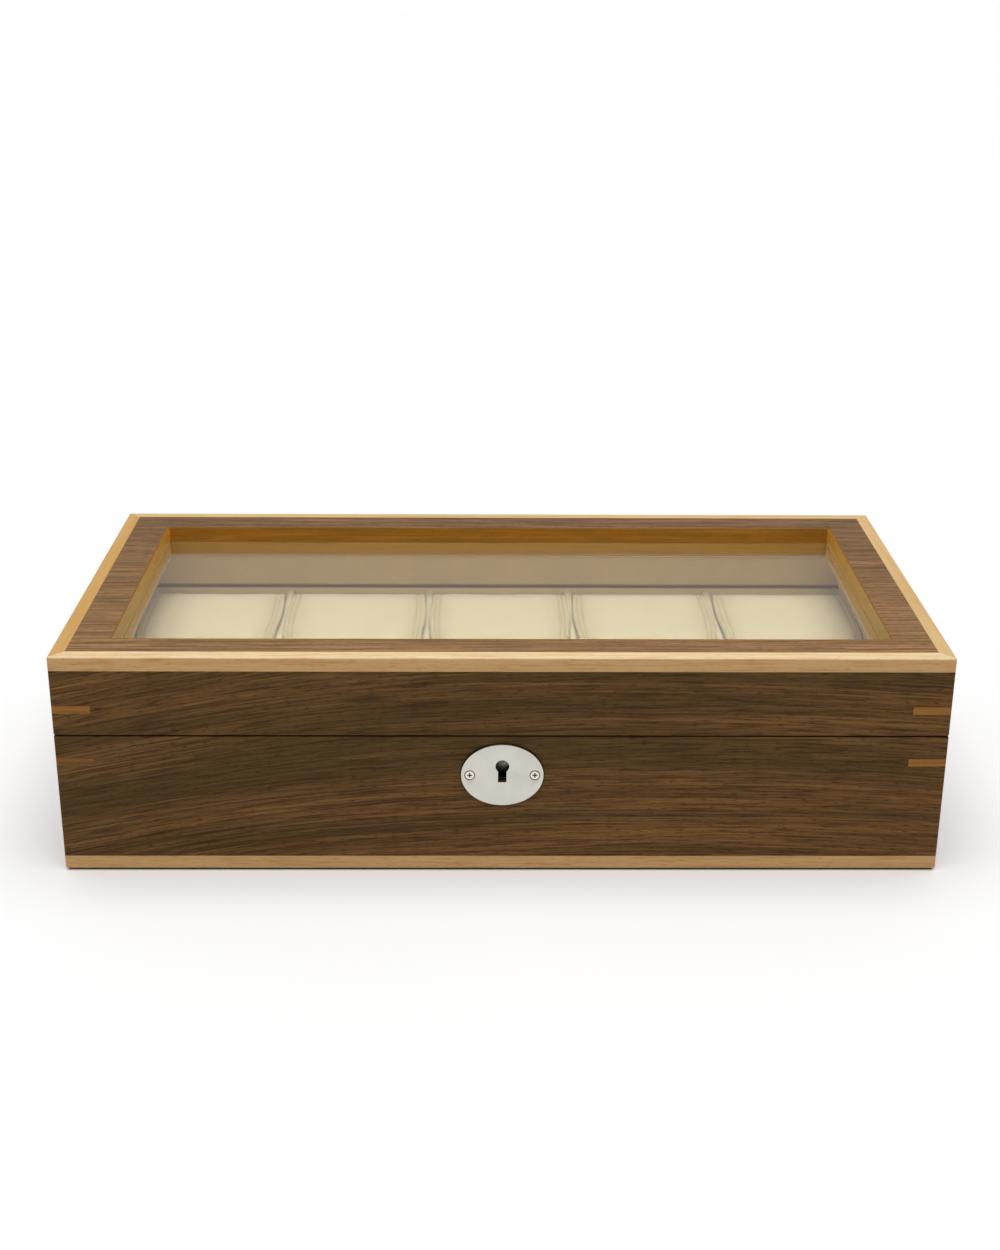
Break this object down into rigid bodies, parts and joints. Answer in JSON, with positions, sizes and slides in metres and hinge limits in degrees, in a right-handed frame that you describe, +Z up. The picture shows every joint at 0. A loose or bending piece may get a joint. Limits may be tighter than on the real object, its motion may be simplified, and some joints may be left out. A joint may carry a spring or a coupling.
{
  "type": "watch box",
  "caption": "Lockable wooden watch box with a glazed hinged lid, pale edging, an oval keyhole plate and removable velvet cushions between dividers.",
  "frame": {"origin": "centre of the felt-covered underside, on the surface the box stands on", "axes": "+Z up; -Y is the front with the keyhole; +X to the right seen from the front, along the length"},
  "size_m": [0.33, 0.168, 0.0875],
  "materials": {
    "walnut_veneer": "dark walnut veneer with long streaks, under a clear satin lacquer",
    "maple_edging": "pale figured maple, clear satin lacquer",
    "spline_wood": "golden-brown hardwood, clear satin lacquer",
    "lipping_wood": "thin golden-brown wood lipping, satin",
    "core_wood": "plain sanded board",
    "beige_lining": "short-pile beige flocked lining",
    "cream_velvet": "soft cream velvet over foam",
    "divider_velvet": "cream velvet wrapped round a thin board",
    "felt": "dark brown felt",
    "window_glass": "clear float glass",
    "escutcheon_nickel": "satin nickel plate with a soft vertical grain",
    "screw_nickel": "nickel-plated, cross-recessed",
    "hinge_nickel": "nickel-plated, satin",
    "lock_steel": "plain bright steel"
  },
  "bodies": {
    "base": {"base_back_panel": "walnut_veneer", "base_corner_splines": "spline_wood", "base_edging_back": "maple_edging", "base_edging_front": "maple_edging", "base_edging_left": "maple_edging", "base_edging_right": "maple_edging", "base_floor_lining": "beige_lining", "base_floor_panel": "core_wood", "base_front_panel": "walnut_veneer", "base_left_panel": "walnut_veneer", "base_lining": "beige_lining", "base_right_panel": "walnut_veneer", "cross_divider_1": "divider_velvet", "cross_divider_2": "divider_velvet", "cross_divider_3": "divider_velvet", "cross_divider_4": "divider_velvet", "escutcheon": "escutcheon_nickel", "escutcheon_screws": "screw_nickel", "hinge_leaves_base": "hinge_nickel", "hinge_pins": "hinge_nickel", "hinge_screws_base": "screw_nickel", "lock_cap": "lock_steel", "lock_case": "lock_steel", "lock_key_pin": "lock_steel", "lock_screws": "screw_nickel", "lock_spring": "lock_steel", "long_divider": "divider_velvet", "underside_felt": "felt"},
    "lid": {"hinge_leaves_lid": "hinge_nickel", "hinge_screws_lid": "screw_nickel", "lid_back_rail": "walnut_veneer", "lid_corner_splines": "spline_wood", "lid_edging_back": "maple_edging", "lid_edging_front": "maple_edging", "lid_edging_left": "maple_edging", "lid_edging_right": "maple_edging", "lid_front_rail": "walnut_veneer", "lid_left_rail": "walnut_veneer", "lid_lining": "beige_lining", "lid_right_rail": "walnut_veneer", "lid_top_panel": "walnut_veneer", "lid_underframe": "core_wood", "lock_strike": "lock_steel", "strike_screws": "screw_nickel", "window_glass": "window_glass", "window_lipping_lower": "lipping_wood", "window_lipping_upper": "lipping_wood"},
    "lock_bolt": {"lock_bolt": "lock_steel"},
    "cushion_back_1": {"cushion_back_1": "cream_velvet"},
    "cushion_back_2": {"cushion_back_2": "cream_velvet"},
    "cushion_back_3": {"cushion_back_3": "cream_velvet"},
    "cushion_back_4": {"cushion_back_4": "cream_velvet"},
    "cushion_back_5": {"cushion_back_5": "cream_velvet"},
    "cushion_front_1": {"cushion_front_1": "cream_velvet"},
    "cushion_front_2": {"cushion_front_2": "cream_velvet"},
    "cushion_front_3": {"cushion_front_3": "cream_velvet"},
    "cushion_front_4": {"cushion_front_4": "cream_velvet"},
    "cushion_front_5": {"cushion_front_5": "cream_velvet"}
  },
  "joints": [
    {"name": "lid_hinge", "type": "hinge", "parent": "base", "child": "lid", "pos_m": [0, 0.0805, 0.0562], "axis": [-1, 0, 0], "range_deg": [0, 95]},
    {"name": "lock_bolt_slide", "type": "slide", "parent": "base", "child": "lock_bolt", "axis": [1, 0, 0], "range_m": [0, 0.004]},
    {"name": "cushion_back_1_lift", "type": "slide", "parent": "base", "child": "cushion_back_1", "axis": [0, 0, 1], "range_m": [0, 0.014]},
    {"name": "cushion_back_2_lift", "type": "slide", "parent": "base", "child": "cushion_back_2", "axis": [0, 0, 1], "range_m": [0, 0.014]},
    {"name": "cushion_back_3_lift", "type": "slide", "parent": "base", "child": "cushion_back_3", "axis": [0, 0, 1], "range_m": [0, 0.014]},
    {"name": "cushion_back_4_lift", "type": "slide", "parent": "base", "child": "cushion_back_4", "axis": [0, 0, 1], "range_m": [0, 0.014]},
    {"name": "cushion_back_5_lift", "type": "slide", "parent": "base", "child": "cushion_back_5", "axis": [0, 0, 1], "range_m": [0, 0.014]},
    {"name": "cushion_front_1_lift", "type": "slide", "parent": "base", "child": "cushion_front_1", "axis": [0, 0, 1], "range_m": [0, 0.014]},
    {"name": "cushion_front_2_lift", "type": "slide", "parent": "base", "child": "cushion_front_2", "axis": [0, 0, 1], "range_m": [0, 0.014]},
    {"name": "cushion_front_3_lift", "type": "slide", "parent": "base", "child": "cushion_front_3", "axis": [0, 0, 1], "range_m": [0, 0.014]},
    {"name": "cushion_front_4_lift", "type": "slide", "parent": "base", "child": "cushion_front_4", "axis": [0, 0, 1], "range_m": [0, 0.014]},
    {"name": "cushion_front_5_lift", "type": "slide", "parent": "base", "child": "cushion_front_5", "axis": [0, 0, 1], "range_m": [0, 0.014]}
  ]
}
